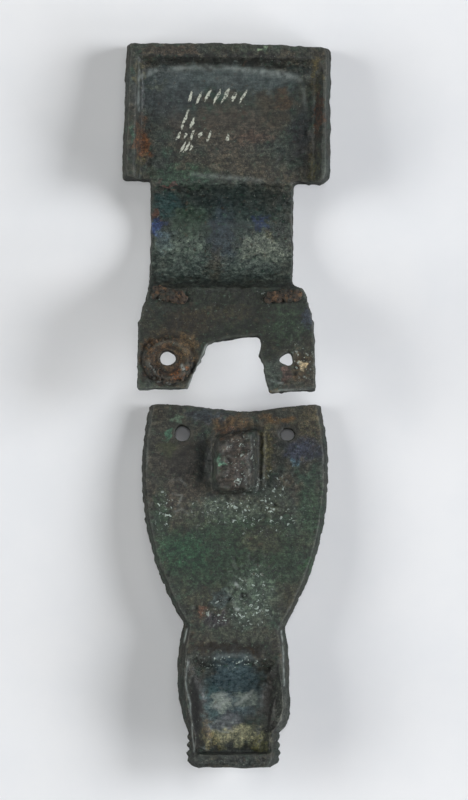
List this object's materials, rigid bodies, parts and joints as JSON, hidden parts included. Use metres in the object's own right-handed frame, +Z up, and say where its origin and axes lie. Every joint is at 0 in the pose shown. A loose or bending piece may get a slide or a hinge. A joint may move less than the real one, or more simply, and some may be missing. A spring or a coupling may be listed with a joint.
{
  "type": "bow brooch fragments",
  "caption": "Cast bronze bow brooch, broken across the foot: head plate with arched bow, and leaf-shaped foot with animal-head end, lying face down.",
  "frame": {"origin": "middle of the ground under the two fragments", "axes": "+Z up, out of the brooch's hollow back; +Y along the brooch from the animal-head foot to the head plate; +X to the right as seen from the back"},
  "size_m": [0.0272, 0.0944, 0.0106],
  "materials": {
    "bronze": "dark green and blue-grey patina with brown patches",
    "rusted_iron": "rough brown rust"
  },
  "bodies": {
    "root": {"head_fragment": "bronze", "foot_fragment": "bronze", "iron_remnant_left": "rusted_iron", "iron_remnant_right": "rusted_iron"}
  },
  "joints": []
}
